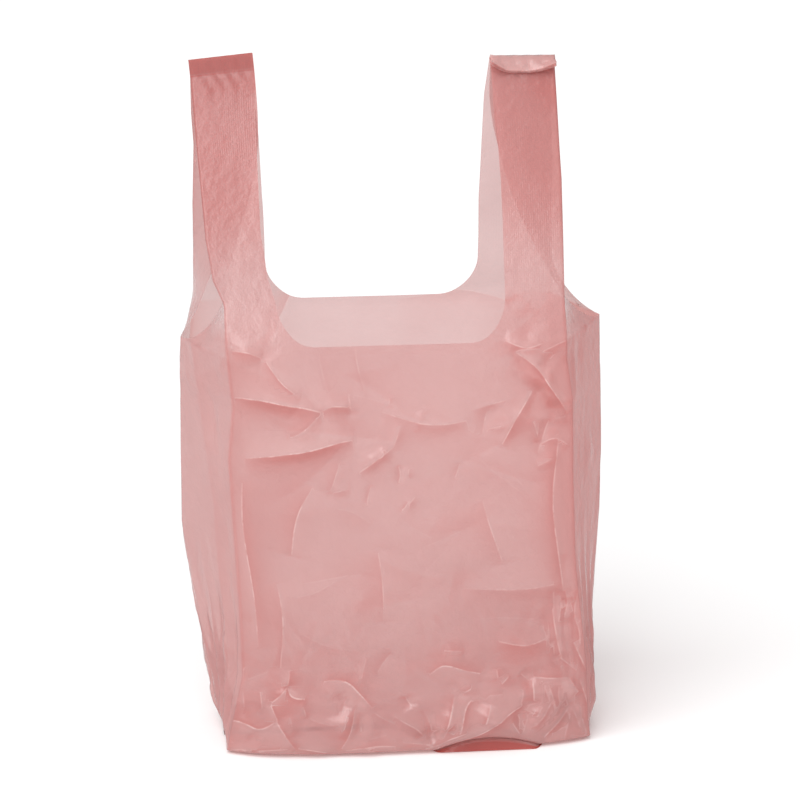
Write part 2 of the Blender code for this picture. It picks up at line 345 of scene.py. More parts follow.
def rounded(points, rounds=2):
    """The line with its corners cut off, once in every round, so that it runs in a curve."""
    for _ in range(rounds):
        early = points[:-1] * 0.75 + points[1:] * 0.25
        late = points[:-1] * 0.25 + points[1:] * 0.75
        between = np.stack([early, late], 1).reshape(-1, 2)
        points = np.concatenate([points[:1], between[1:-1], points[-1:]])
    return points


def crease_heights(p, q, creases):
    """Height of the film over its flat panel at places p across it and q along it, and four
    marks: signed distance to the strongest crest in millimetres, how strong it is, and how much
    of a shaded flank and of a lit flank the place is, 0 to 1."""
    p, q = p + CREASE_BOW * np.sin(q / (13 * MM) + 1), q + CREASE_BOW * np.sin(p / (11 * MM))
    total, crest, shaded, lit = np.zeros((4, len(p)))
    crest_side = np.full_like(p, FAR_FROM_CREST)
    for crease in creases:
        points = rounded(np.array(crease.points) * MM)
        reach = FLANK_REACH * max(crease.lit, crease.shaded) * MM
        low, high = points.min(0) - reach, points.max(0) + reach
        near = np.flatnonzero((p > low[0]) & (p < high[0]) & (q > low[1]) & (q < high[1]))
        if not len(near):
            continue
        x, y = p[near], q[near]
        best = np.full(len(near), np.inf)
        along_share, on_left = np.zeros((2, len(near)))
        spans = np.hypot(*np.diff(points, axis=0).T)
        run = 0.0
        for start, end, span in zip(points, points[1:], spans):
            along = (end - start) / span
            share = clamp(((x - start[0]) * along[0] + (y - start[1]) * along[1]) / span)
            away_x = x - start[0] - share * span * along[0]
            away_y = y - start[1] - share * span * along[1]
            distance = np.hypot(away_x, away_y)
            left = along[0] * away_y - along[1] * away_x > 0
            closer = distance < best
            on_left = np.where(closer, left, on_left)
            along_share = np.where(closer, (run + share * span) / spans.sum(), along_share)
            best = np.where(closer, distance, best)
            run += span
        width = np.where(on_left > 0, crease.lit, crease.shaded) * MM
        fall = np.exp((CREST - np.sqrt(best ** 2 + CREST ** 2)) / width)
        ends = np.sin(math.pi * clamp(along_share))
        steepest = STEEPEST_FLANK * min(crease.lit, crease.shaded)
        peak = max(-steepest, min(crease.height, steepest)) * MM
        total[near] += peak * fall * ends ** END_OF_HEIGHT
        strength = min(abs(crease.height) / FULL_HEIGHT, 1.0) ** LOW_CREASES_FADE
        strength = strength * ends ** END_OF_MARKS
        signed = np.where(on_left > 0, best, -best) / MM * math.copysign(1, crease.height)
        close = strength * np.exp(-best / (crease.shaded * MM))
        stronger = close > crest[near]
        limited = np.clip(signed, -FAR_FROM_CREST, FAR_FROM_CREST)
        crest_side[near] = np.where(stronger, limited, crest_side[near])
        crest[near] = np.maximum(crest[near], close)
        shaded[near] += close * (1 - smooth(signed / 2 + 0.5))
        lit[near] += strength * np.exp(-best / (crease.lit * MM)) * smooth(signed / 2 + 0.5)
    return total, crest_side, crest, clamp(shaded), clamp(lit)


# %% [markdown]
# The larger creases are placed one by one where the real sack has them: long soft folds that run
# in from the left shoulder, short bright ones in the middle of the front, the tucks above the base.
# Places are millimetres from the panel's centre line and millimetres of film above the bottom weld.
# After the places come the crease's height and the widths of its lit and its shaded flank.

# %% Creases of the front panel: shoulders and middle
SHOULDER_CREASES = [
    ([(-89, 235), (-70, 235), (-54, 233), (-45, 231), (-38, 228)], 4.2, 9, 7),
    ([(-38, 228), (-45, 224), (-51, 220), (-61, 215)], 2.2, 6, 6),
    ([(-38, 228), (-32, 231), (-26, 230), (-23, 229)], 2.4, 7, 4),
    ([(-83, 202), (-68, 205), (-59, 207), (-46, 209), (-32, 211), (-24, 211)], 5.2, 11, 6),
    ([(-65, 257), (-58, 245), (-49, 237)], 2.6, 8, 8),
    ([(-87, 260), (-75, 260), (-67, 257)], 2.4, 6, 7),
    ([(-32, 200), (-37, 184)], 1.9, 3, 4),
    ([(-37, 184), (-26, 185)], 1.2, 4, 3),
    ([(-22, 193), (-4, 207)], 2.0, 3, 4),
    ([(-22, 235), (-23, 226)], 1.6, 2, 2),
    ([(-16, 260), (-14, 234)], 1.1, 1.5, 1.5),
    ([(-46, 188), (-55, 174), (-60, 150)], 2.2, 9, 9),
    ([(-4, 206), (1, 222)], 1.5, 2.0, 2.4),
    ([(-21, 198), (-12, 203)], 1.2, 2.4, 2.2),
    ([(2, 172), (10, 182)], 1.4, 2, 2),
    ([(-8, 226), (14, 220), (34, 221)], 1.9, 7, 5),
    ([(52, 205), (60, 222), (70, 236)], 2.6, 5, 6),
    ([(34, 226), (50, 229), (62, 232)], 1.4, 5, 4),
    ([(68, 222), (72, 208)], 1.6, 2.4, 2.4),
    ([(74, 236), (84, 232), (88, 224)], 2.2, 3, 3),
    ([(72, 206), (80, 212), (88, 205)], 2.2, 3, 3),
    ([(62, 256), (74, 250), (80, 238), (87, 224)], 3.3, 5, 7),
    ([(56, 262), (68, 258), (78, 262)], 2.4, 4, 4),
    ([(66, 246), (74, 243), (82, 246)], 2.0, 3, 3),
    ([(82, 216), (80, 180), (82, 120)], 2.4, 8, 6),
    ([(-80, 96), (-85, 140), (-84, 190)], 2.2, 6, 8),
    ([(-70, 134), (-66, 108), (-68, 84)], 2.0, 6, 6),
    ([(44, 176), (52, 140)], 1.7, 9, 9),
    ([(-12, 150), (-10, 110)], 1.7, 10, 9),
    ([(30, 128), (58, 124), (84, 130)], 1.7, 9, 6),
]

# %% Creases of the front panel: tucks above the base, at the left
LEFT_TUCKS = [
    ([(-64, 76), (-63, 86)], 3.0, 3, 5),
    ([(-64, 76), (-73, 66)], 3.0, 4, 5),
    ([(-64, 76), (-62, 71), (-53, 70)], 3.4, 3, 4),
    ([(-68, 57), (-73, 66)], 4.4, 3, 6),
    ([(-69, 57), (-77, 51), (-86, 54), (-97, 55)], 5.4, 6, 5),
    ([(-57, 42), (-62, 48), (-69, 57)], 3.6, 6, 4),
    ([(-59, 43), (-77, 39), (-91, 35)], 3.2, 5, 1.8),
    ([(-92, 36), (-82, 39), (-70, 37)], 2.8, 2, 3),
    ([(-17, 62), (-24, 71), (-30, 78), (-38, 80), (-45, 79)], 3.8, 9, 3),
    ([(-27, 62), (-29, 50), (-34, 40)], 3.6, 4, 5),
    ([(-5, 41), (-19, 41), (-32, 39)], 2.8, 3, 2),
    ([(-57, 43), (-48, 42), (-39, 38)], 3.0, 3, 3),
    ([(-88, 86), (-92, 75), (-94, 61)], 2.2, 3, 2),
    ([(-79, 73), (-77, 62)], 2.2, 3, 3),
    ([(-52, 60), (-40, 55), (-30, 57)], 1.8, 4, 4),
]

# %% Creases of the front panel: tucks above the base, at the right
RIGHT_TUCKS = [
    ([(16, 37), (25, 39), (35, 41), (43, 48), (51, 56), (58, 60)], 5.6, 8, 5),
    ([(40, 79), (31, 83), (21, 88), (14, 81)], 3.2, 7, 5),
    ([(25, 69), (22, 59), (19, 50)], 4.2, 4, 3.4),
    ([(26, 46), (29, 62), (34, 66)], 4.2, 3, 3),
    ([(42, 62), (39, 54), (38, 48)], 3.4, 5, 3.4),
    ([(35, 73), (29, 70)], 2.4, 3, 3),
    ([(47, 75), (47, 81)], 2.2, 2.4, 2.4),
    ([(48, 72), (53, 77)], 2.2, 2.4, 2.4),
    ([(82, 75), (64, 75)], 2.6, 8, 3),
    ([(86, 65), (82, 75)], 2.8, 6, 3),
    ([(64, 75), (63, 62)], 2.8, 7, 4),
    ([(66, 41), (73, 49), (80, 57)], 3.6, 6, 2.4),
    ([(86, 96), (91, 78)], 2.8, 4, 3),
    ([(87, 74), (90, 58), (90, 43)], 2.8, 4, 3),
    ([(76, 116), (78, 96), (80, 82)], 2.2, 4, 3.4),
    ([(57, 57), (64, 55)], 2.4, 2.4, 2),
    ([(66, 59), (63, 53)], 2.2, 2.4, 2),
    ([(32, 45), (20, 44), (8, 39)], 2.8, 4, 3),
    ([(48, 96), (62, 92), (74, 98)], 2.0, 6, 5),
    ([(-6, 58), (6, 52), (10, 44)], 2.0, 5, 5),
]
FRONT_CREASES = [Crease(*row) for row in SHOULDER_CREASES + LEFT_TUCKS + RIGHT_TUCKS]
print(f"{len(FRONT_CREASES)} creases placed on the front")

# %% [markdown]
# Between the large creases the film is never quite flat. Small creases are scattered by a random
# generator with a fixed seed, so that the sack comes out the same each time. They crowd where
# film is squeezed, above the base and at the roots of the handles, and are rare in the middle of
# the panels.

# %% Scattered creases
def scatter(seed, count, place, lengths, heights, widths, tilt):
    """Creases of random length, height and tilt, at the places that place(random) returns."""
    dice = random.Random(seed)
    creases = []
    for _ in range(count):
        x, y = place(dice)
        length = dice.uniform(*lengths)
        angle = dice.gauss(*tilt)
        bow = dice.uniform(-0.25, 0.25)
        dx, dy = math.cos(angle) * length / 2, math.sin(angle) * length / 2
        points = [(x - dx, y - dy), (x - bow * dy, y + bow * dx), (x + dx, y + dy)]
        size = dice.uniform(*heights) * dice.choice((-1, 1))
        creases.append(Crease(points, size, dice.uniform(*widths), dice.uniform(*widths)))
    return creases


def above_base(dice):
    return dice.uniform(-92, 92), 38 + abs(dice.gauss(0, 23))


def anywhere(dice):
    return dice.uniform(-92, 92), dice.uniform(60, 262)


def right_shoulder(dice):
    return dice.gauss(70, 14), dice.gauss(238, 22)


def right_low(dice):
    return dice.gauss(82, 6), dice.uniform(40, 135)


def middle(dice):
    return dice.gauss(-2, 13), dice.gauss(193, 15)


def side_low(dice):
    return dice.uniform(-58, 58), 40 + abs(dice.gauss(0, 40))


def side_anywhere(dice):
    return dice.uniform(-58, 58), dice.uniform(60, 262)


UPRIGHT = math.pi / 2
front_creases = list(FRONT_CREASES)
front_creases += scatter(11, 76, above_base, (7, 26), (0.4, 2.4), (2, 5), (UPRIGHT, 0.8))
front_creases += scatter(12, 40, anywhere, (16, 70), (0.15, 0.8), (4, 12), (0.1, 0.6))
front_creases += scatter(13, 26, right_shoulder, (6, 22), (0.6, 2.0), (1.8, 4), (0.9, 0.7))
front_creases += scatter(14, 16, right_low, (14, 40), (0.9, 2.4), (2, 4), (UPRIGHT, 0.15))
front_creases += scatter(15, 10, middle, (5, 12), (1.2, 2.2), (0.9, 1.6), (1.0, 0.4))
back_creases = scatter(21, 90, above_base, (8, 34), (0.5, 2.2), (2, 6), (UPRIGHT, 0.8))
back_creases += scatter(22, 50, anywhere, (20, 80), (0.3, 1.6), (4, 12), (0.1, 0.6))
side_creases = {}
for key, seed in ((-1, 31), (1, 41)):
    low = scatter(seed, 60, side_low, (14, 50), (0.3, 1.5), (2, 4.5), (UPRIGHT, 0.25))
    high = scatter(seed + 1, 34, side_anywhere, (14, 60), (0.2, 0.9), (3, 9), (1.3, 0.5))
    side_creases[key] = low + high
print(f"{len(front_creases)} front, {len(back_creases)} back, {len(side_creases[1])} on each side")

# %% [markdown]
# ## Laying the front and back panels
#
# The front and back panels take the profile, a slight bulge, and their creases, which die out
# where a panel is held: at the corner folds, on the ground and at the rim. The front also swells
# at its foot. The slope of the creases is measured by looking half a millimetre further on.

# %% Relief of the front and back panels
BASE_BELLY = 12 * MM
BELLY_HEIGHT = 42 * MM
HELD_LENGTH = 14 * MM
CORNER_HOLDS = 12 * MM
RIM_HOLDS = 24 * MM
# The key light comes from above and from the left, so a flank that faces down or right is shaded.
# That shade is painted into the film's colour through a mark, on top of the real light.
SHADED_DOWN = 0.85
SHADED_RIGHT = 0.4
SHADED_ANYWAY = 0.15


def held_share(length):
    return smooth((film_length - HALF_BASE + 4 * MM) / length)


def panel_relief(p, q):
    front, back = crease_heights(p, q, front_creases), crease_heights(p, q, back_creases)
    return np.where(face < 0, front, back)


panel_creases, *panel_marks = panel_relief(on_panel, film_length)
NUDGE = 0.5 * MM
slope_across = (panel_relief(on_panel + NUDGE, film_length)[0] - panel_creases) / NUDGE
slope_along = (panel_relief(on_panel, film_length + NUDGE)[0] - panel_creases) / NUDGE
# Painted shade: flanks facing down or right are darkened, and film that slopes sharply looks darker
turned_down = SHADED_DOWN * slope_along - SHADED_RIGHT * slope_across
panel_shade_and_slope = np.maximum(turned_down, 0) + SHADED_ANYWAY * np.hypot(slope_across, slope_along)
panel_creases *= held_share(HELD_LENGTH) * mix(0.15, 1.0, smooth(across / CORNER_HOLDS))
panel_creases *= 1 - smooth((film_length - BODY_LENGTH + 8 * MM) / RIM_HOLDS)
print(f"panel creases from {panel_creases.min() / MM:.1f} to {panel_creases.max() / MM:.1f} mm")

# %% Front and back panels
bulge = FACE_BULGE * np.sin(math.pi * on_wall) * (1 - (on_panel / HALF_FACE) ** 2)
belly = BASE_BELLY * (1 - np.abs(on_panel / HALF_FACE) ** 4) * (face < 0)
belly *= np.exp(-(np.maximum(film_length - HALF_BASE, 0) / BELLY_HEIGHT) ** 2)
bulge += belly
face_x = side * (HALF_FACE - across + corner_shift * (1 - across / HALF_FACE) + narrows + cut_pull)
face_depth = depth + bulge + panel_creases
print(f"panels bulge by up to {bulge.max() / MM:.0f} mm")

# %% [markdown]
# ## Laying the side gussets
#
# On the body a gusset half runs from a corner fold out to the side's centre fold. Above the rim it
# is cut off from its other half, and swings in behind the handle until it lies flat on the inside
# of the front or back strap. Its fold stays at the handle's outer edge all the way up.

# %% Side gussets, pleats and the swing behind the handles
PLEAT_LENGTH = 17 * MM
PLEAT_DEPTH = 3.2 * MM
PLEAT_TOP = 130 * MM

swing = np.sin(on_strap * math.pi / 2)
to_centre_x, to_centre_y = spread, depth
fold_turn = mix(np.arctan2(to_centre_y, to_centre_x), math.pi, swing) / 2
fold_x, fold_y = LAYER_PITCH * np.cos(fold_turn), LAYER_PITCH * np.sin(fold_turn)
panel_x, panel_y = to_centre_x - fold_x, to_centre_y - fold_y
turn = mix(np.arctan2(panel_y, panel_x), math.pi, swing)
run = across * mix(np.hypot(panel_x, panel_y) / GUSSET_WIDTH, 1.0, smooth(swing))

# The pleats wander a little on their way up, and their tops are nearly sharp, as in a folded fan
wander = 0.35 * np.sin(film_length / (31 * MM) + 2 * side)
wander = wander + 0.2 * np.sin(film_length / (12 * MM) + face)
wave = np.sin(2 * math.pi * across / PLEAT_LENGTH + 3 * wander)
pleat = PLEAT_DEPTH * (2 / math.pi) * np.arcsin(0.96 * wave)
pleat *= smooth((height - 2 * MM) / (18 * MM)) * (1 - smooth(height / PLEAT_TOP))
pleat *= smooth(across / (8 * MM))
along_side = face * (GUSSET_WIDTH - across)
left_relief = crease_heights(along_side, film_length, side_creases[-1])
right_relief = crease_heights(along_side, film_length, side_creases[1])
side_relief, *side_marks = np.where(side < 0, left_relief, right_relief)
side_relief *= held_share(HELD_LENGTH) * smooth(across / (10 * MM)) * (1 - smooth(on_strap * 4))
relief = pleat + side_relief
gusset_out = fold_x + run * np.cos(turn) + relief * np.sin(turn)
gusset_in = fold_y + run * np.sin(turn) - relief * np.cos(turn)
print(f"pleats up to {pleat.max() / MM:.1f} mm deep")

# %% [markdown]
# ## The handles
#
# The two bands of a handle are limp straps. Soft waves run along them, and both layers of a band
# move together because they cling to each other. Near the top weld, which has shrunk a little in
# the heat, the film puckers into short creases.

# %% Waves and puckers of the handle bands
WAVE_HEIGHT = 1.8 * MM
PUCKER_HEIGHT = 0.35 * MM
PUCKER_SPACING = 1.1 * MM
PUCKER_ZONE = 9 * MM


def band_wave(x, y, seed):
    """A few slow waves across and along a strap, different for each seed."""
    dice = random.Random(seed)
    total = np.zeros_like(x)
    for _ in range(5):
        kx, ky = dice.uniform(-70, 70), dice.uniform(35, 110)
        total += dice.uniform(0.4, 1.0) * np.sin(kx * x + ky * y + dice.uniform(0, 6.3))
    return total / 5


in_handle = smooth(on_strap * 5) * (1 - smooth((film_length - WELD_LINE + 24 * MM) / (20 * MM)))
waves = np.zeros_like(film_length)
for number, (side_sign, face_sign) in enumerate(((1, -1), (1, 1), (-1, 1), (-1, -1))):
    band = (side == side_sign) & (face == face_sign)
    waves[band] = band_wave(across[band], film_length[band], 50 + number)
waves *= WAVE_HEIGHT * in_handle
pucker_zone = np.exp(-((film_length - WELD_LINE) / PUCKER_ZONE) ** 2) * (film_length > BODY_LENGTH)
puckers = PUCKER_HEIGHT * np.sin(across / PUCKER_SPACING + 3 * np.sin(film_length / (5 * MM)))
puckers *= pucker_zone * np.sin(math.pi * clamp(across / HANDLE_WIDTH))
print(f"waves up to {np.abs(waves).max() / MM:.1f} mm, puckers up to {puckers.max() / MM:.1f} mm")

# %% [markdown]
# ## The base and the bottom weld
#
# On the ground the film runs in flat from the edge of the base to the bottom weld. The weld is a
# stiff strip 6 mm wide. It lies under the sack along most of its length, and comes forward at the
# right, where it shows below the front panel as a strip of deep red.

# %% Path of the bottom weld
WELD_SHOWS_AT = 45 * MM
WELD_SHOWS_HALF = 54 * MM
WELD_BEHIND_FRONT = 4 * MM
WELD_LIFT = 6.5 * MM


def weld_forward(x):
    return 0.5 + 0.5 * np.cos(math.pi * np.clip((x - WELD_SHOWS_AT) / WELD_SHOWS_HALF, -1, 1))


seen_part = weld_forward(np.where(in_gusset, side * HALF_FACE, face_x))
forward = smooth(1.8 * seen_part)
crescent = clamp(2 * seen_part - 1) ** 0.8
weld_y = -(HALF_BASE + BASE_BELLY - WELD_BEHIND_FRONT) * forward
weld_z = GROUND_LEVEL + WELD_LIFT * crescent
print(f"bottom weld comes {-weld_y.min() / MM:.0f} mm forward and lifts {WELD_LIFT / MM:.1f} mm")

# %% [markdown]
# ## All points in place
#
# Now the panels and the gussets come together as x, y and z. The tip of the left gusset sags a
# little. Then the film of the base is drawn in to the weld, and its spare length stands up in low
# mounds inside the sack. Last of all the handles and the body lean over.

# %% Panels and gussets in place
LEFT_TIP_SAG = 6 * MM

carried = mix(1 - across / GUSSET_WIDTH, 1.0, smooth(swing * 1.5))
gusset_x = side * (HALF_FACE + corner_shift * carried + gusset_out)
gusset_y = face * (depth - gusset_in)
x = np.where(in_gusset, gusset_x, face_x)
y = np.where(in_gusset, gusset_y, face * face_depth)
z = height.copy()
sag = smooth(across / (40 * MM)) * smooth((film_length - 190 * MM) / (70 * MM))
sag *= 1 - smooth(on_strap * 3)
z -= LEFT_TIP_SAG * sag * (in_gusset & (side < 0))
print(f"left gusset sags by up to {LEFT_TIP_SAG * sag.max() / MM:.1f} mm")

# %% The base drawn in to the weld, with its mounds
MOUND_HEIGHT = 13 * MM
FRONT_LIFTS = 0.9
FRONT_LIFTS_UP_TO = 16 * MM
BASE_COMES_FORWARD = 14 * MM
LAYERS_APART = 0.15 * MM

front_lift = WELD_LIFT * FRONT_LIFTS * crescent * (face < 0) * ~in_gusset
z += front_lift * np.exp(-(height / FRONT_LIFTS_UP_TO) ** 2)
on_base = clamp(film_length / HALF_BASE)
base_row = film_length < HALF_BASE
seal_end_x = side * (HALF_FACE - 2 * MM)
x = np.where(base_row & in_gusset, mix(seal_end_x, x, on_base), x)
y = np.where(base_row, mix(weld_y, y, on_base), y)
backed = BASE_COMES_FORWARD * forward * np.sin(math.pi * on_base)
y += np.where(base_row & (face < 0), backed, 0)
z = np.where(base_row, mix(weld_z, z, on_base), z)
# Two waves of different length across the base, and a third along it, make uneven mounds
wide_wave = np.sin(face_x / (13 * MM) + 1.3)
narrow_wave = np.sin(face_x / (6.1 * MM) + 0.4 + face)
mound = (1.2 + wide_wave + 0.7 * narrow_wave) / 2.9
mound *= 0.6 + 0.4 * np.sin(film_length / (5 * MM) + face_x / (9 * MM))
z += MOUND_HEIGHT * clamp(mound) * np.sin(math.pi * on_base) * base_row * (1 - forward * (face < 0))
fin = clamp(-film_length / BOTTOM_WELD_BAND)
y = y - fin * mix(BOTTOM_WELD_BAND, 2 * MM, forward)
z = z - fin * (weld_z - GROUND_LEVEL)
y += face * LAYERS_APART * (film_length <= 0)

y += waves + puckers
x, z = lean(x, z)
print("film box, mm:", [(round(a.min() / MM, 1), round(a.max() / MM, 1)) for a in (x, y, z)])

# %% [markdown]
# ## The right handle's weld is folded over
#
# The welded end of the right handle has tipped forward. It hangs down steeply in the middle and
# lies almost level at its outer end, so its free edge runs in a shallow curve.

# %% Fold the right handle's end forward
FLAP_ACROSS = [0, 8 * MM, 14 * MM, 25 * MM, HANDLE_WIDTH]
FLAP_BEND = [math.radians(a) for a in (104, 128, 138, 134, 100)]
FLAP_CURVE = 1.6 * MM
FLAP_GAP = 0.4 * MM
WRINKLE_HEIGHT = 0.3 * MM
WRINKLE_SPACING = 1.1 * MM

past_weld = np.maximum(film_length - WELD_LINE, 0.0)
flap = (side > 0) & (past_weld > 0)
bend = np.interp(across, FLAP_ACROSS, FLAP_BEND)
turned = bend * smooth(past_weld / (3 * FLAP_CURVE))
layer = np.where(in_gusset, 0.5, 1.5) * LAYER_PITCH * face
half_turned = bend * 0.5 * (1 + smooth(past_weld / TOP_WELD_BAND))
flap_y = -past_weld * np.sin(half_turned) - FLAP_GAP
flap_z = past_weld * np.cos(turned)
weld_height = z - past_weld
wrinkle = WRINKLE_HEIGHT * np.sin((across + 1.2 * past_weld) / WRINKLE_SPACING)
wrinkle *= np.sin(math.pi * clamp(past_weld / TOP_WELD_BAND))
y = np.where(flap, flap_y + layer * np.cos(turned) - wrinkle, y)
z = np.where(flap, weld_height + flap_z + layer * np.sin(turned) + wrinkle * np.sin(turned), z)
print(f"{flap.sum()} points in the folded end")

# %% [markdown]
# ## Making the mesh
#
# The grid becomes one mesh. Its flat pattern is kept as a UV map in metres, so that the material
# can draw welds, embossing and stretch marks where they are on the film, at their real size.

# %% Build the film mesh
starts = np.concatenate([[0], np.cumsum([len(line) for line in lines])])
quads = []
for i in range(len(ring)):
    after = (i + 1) % len(ring)
    for j in range(min(len(lines[i]), len(lines[after])) - 1):
        a, b = starts[i] + j, starts[after] + j
        quads.append((a, b, b + 1, a + 1))
mesh = bpy.data.meshes.new("film_sack")
mesh.from_pydata(np.stack([x, y, z], 1).tolist(), [], quads)
mesh.shade_smooth()
film = bpy.data.objects.new("film_sack", mesh)
bpy.context.scene.collection.objects.link(film)

uv = mesh.uv_layers.new(name="flat_pattern")
corner_points = np.zeros(len(mesh.loops), int)
mesh.loops.foreach_get("vertex_index", corner_points)
flat = np.stack([round_tube, film_length], 1)[corner_points]
seam = flat[:, 0].reshape(-1, 4)
seam[seam < seam.max(1, keepdims=True) - GIRTH / 2] += GIRTH
flat[:, 0] = seam.ravel()
uv.data.foreach_set("uv", flat.astype(np.float32).ravel())
print(f"{len(mesh.vertices)} points, {2 * len(quads)} triangles")

# %% [markdown]
# ## Marks for the material
#
# The material can't find out by itself what lies where. So the mesh carries marks, each one a
# number at every point. `crest_side`, `crest`, `shaded` and `lit` come from the creases. `weld`,
# `fold` and `handle` say where those are, and `squeezed` grows towards the gathered base.
#
# One more mark darkens the film. Part of it is painted shade: on a crease flank that turns away
# from the key light, beside a corner fold, under the right handle's folded end, on the right side,
# and on the gathered base film seen through the front. Part of it is film that looks darker than
# one flat layer: film seen on a slant, the shrunken film under the left handle's weld, the gathered
# base film behind the front, and bands that cling together. Thin film loses light in such places,
# and a surface without thickness doesn't, so the mark makes up for it.

# %% A helper for marks, and places on the open tube
def add_mark(name, values):
    attribute = mesh.attributes.new(name, "FLOAT", "POINT")
    attribute.data.foreach_set("value", values.astype(np.float32))


tube_turn = round_tube / GIRTH * 2 * math.pi
tube_radius = GIRTH / (2 * math.pi)
tube_points = [tube_radius * np.cos(tube_turn), tube_radius * np.sin(tube_turn), film_length]
tube = mesh.attributes.new("tube_place", "FLOAT_VECTOR", "POINT")
tube.data.foreach_set("vector", np.stack(tube_points, 1).astype(np.float32).ravel())
print(f"the open tube is {2 * tube_radius / MM:.0f} mm wide")

# %% Painted shade on crease flanks, beside corner folds and under the right flap, and shrunken film
STEEP_FROM = 0.04
STEEP_RANGE = 0.55

shade_and_density = clamp(np.where(in_gusset, 0.0, panel_shade_and_slope - STEEP_FROM) / STEEP_RANGE)
shade_and_density = 0.5 * shade_and_density * held_share(HELD_LENGTH) * (film_length > 0)
# Painted shade beside the corner folds, partly also the gusset film that lies behind the panel
shade_beside_fold = np.exp(-across / (9 * MM)) * (on_strap <= 0) * ~in_gusset
under_left_weld = (film_length - WELD_LINE + 6 * MM) / (5 * MM)
left_shrink = 0.7 * np.exp(-under_left_weld ** 2) * smooth(across / (16 * MM))
# Painted shadow under the right handle's folded end, where more layers of film also lie
under_right_weld = (film_length - WELD_LINE + 9 * MM) / (13 * MM)
right_flap_shadow = np.exp(-((across - 3 * MM) / (9 * MM)) ** 2 - under_right_weld ** 2)
crushed_and_flap_shadow = by_side(left_shrink, right_flap_shadow) * (on_strap > 0.6)

# %% Painted shade and darker layers: base film behind the front, the right side, clinging bands
# Darker spots low on the front, partly painted shade and partly the gathered base film that lies
# against the inside of the front: place on the panel in millimetres, radius, and how much darker it
# looks
BASE_FILM_AND_SHADE = [(-60, 72, 13, 0.35), (56, 89, 13, 0.5), (-88, 58, 7, 0.4), (-66, 62, 6, 0.3)]
RIGHT_SIDE_SHADE = 0.7
LEFT_BAND_CLINGS = 0.6
RIGHT_BAND_CLINGS = 0.5

base_film_and_shade = np.zeros_like(film_length)
for spot_x, spot_v, radius, amount in BASE_FILM_AND_SHADE:
    away = np.hypot(on_panel - spot_x * MM, film_length - spot_v * MM) / (radius * MM)
    base_film_and_shade += amount * np.exp(-away ** 2) * (face < 0) * ~in_gusset
# Painted shade: the right side faces away from the key light, so its film is darkened
right_side_shade = RIGHT_SIDE_SHADE * in_gusset * (side > 0) * (film_length > 0) * (on_strap <= 0)
right_side_shade = right_side_shade * smooth(height / (120 * MM))
clinging = by_side(LEFT_BAND_CLINGS, RIGHT_BAND_CLINGS)
clinging = clinging * smooth((on_strap - 0.2) / 0.35) * (face < 0)
darker = shade_and_density + 0.35 * shade_beside_fold + crushed_and_flap_shadow + base_film_and_shade + right_side_shade + clinging
add_mark("shade_and_density", clamp(darker))
print(f"{(darker > 0.3).mean():.0%} of the points look clearly denser")

# %% Creases, folds, welds and squeezed film
FOLD_STRENGTH = 0.3
FOLD_WIDTH = 0.7 * MM
SQUEEZED_UP_TO = 34 * MM
FLAP_PAINTED_LIGHT = 2.2
LEFT_WELD = 0.95
RIGHT_WELD = 0.12

crest_side, crest, shaded, lit = np.where(in_gusset, side_marks, panel_marks)
wrinkled = smooth((film_length - HALF_BASE) / (2 * MM)) * (1 - smooth(on_strap * 12))
wrinkled *= np.where(in_gusset, 0.6, 1.0)
add_mark("crest_side", crest_side)
add_mark("crest", crest * wrinkled)
add_mark("shaded", shaded * wrinkled)
# Painted light: the right handle's folded end is painted paler, as if lit from above
add_mark("lit", lit * wrinkled + FLAP_PAINTED_LIGHT * flap)
fold_distance = np.where(film_length > HALF_BASE, across, 1.0)
add_mark("fold", FOLD_STRENGTH * np.exp(-fold_distance / FOLD_WIDTH))
squeezed = np.exp(-np.maximum(height - 4 * MM, 0) / SQUEEZED_UP_TO) * (film_length > 0)
add_mark("squeezed", clamp(squeezed))
handle_weld = by_side(LEFT_WELD, RIGHT_WELD) * (film_length > WELD_LINE)
add_mark("weld", np.where(film_length < 0, 1.0, handle_weld))
add_mark("handle", smooth(on_strap * 3))
print(f"{len(mesh.attributes)} attributes on the mesh")

# %% [markdown]
# ## Blown polyethylene film
#
# The film is high density polyethylene, blown as a thin bubble and coloured with a pink pigment.
# Its surface is smooth but not polished, so it shines softly. About four tenths of the light goes
# straight through. The pigment scatters the rest, some of it back to the eye and some of it
# onwards, which gives the milky look and the deeper pink where layers overlap. Three shaders are
# mixed for that: Transparent, Translucent and Diffuse, with a Glossy coat on top that grows
# stronger at grazing angles.

# %% Helpers for all materials
def linear(hex_colour):
    """An sRGB colour such as 'E8A0A0' as the linear values that shaders use."""
    values = [int(hex_colour[i:i + 2], 16) / 255 for i in (0, 2, 4)]
    return [v / 12.92 if v <= 0.04045 else ((v + 0.055) / 1.055) ** 2.4 for v in values] + [1.0]


def add_node(tree, kind, settings=(), **links):
    """Adds a node, sets its sockets or properties, and links sockets to other nodes' outputs."""
    node = tree.nodes.new(kind)
    for name, value in dict(settings).items():
        if isinstance(name, int) or name in node.inputs:
            node.inputs[name].default_value = value
        else:
            setattr(node, name, value)
    for name, socket in links.items():
        key = int(name[1:]) if name[1:].isdigit() else name.replace("_", " ")
        tree.links.new(socket, node.inputs[key])
    return node


# %% The film's material, and short ways to add its nodes
film_material = bpy.data.materials.new("pink_blown_film")
film_material.use_nodes = True
tree = film_material.node_tree
tree.nodes.clear()


def read_mark(name):
    return add_node(tree, "ShaderNodeAttribute", {"attribute_name": name}).outputs["Fac"]


def maths(operation, *values, **settings):
    """A Math node. Each value is a number or the output of another node."""
    node = add_node(tree, "ShaderNodeMath", {"operation": operation, **settings})
    for socket, value in zip(node.inputs, values):
        if isinstance(value, float):
            socket.default_value = value
        else:
            tree.links.new(value, socket)
    return node.outputs[0]


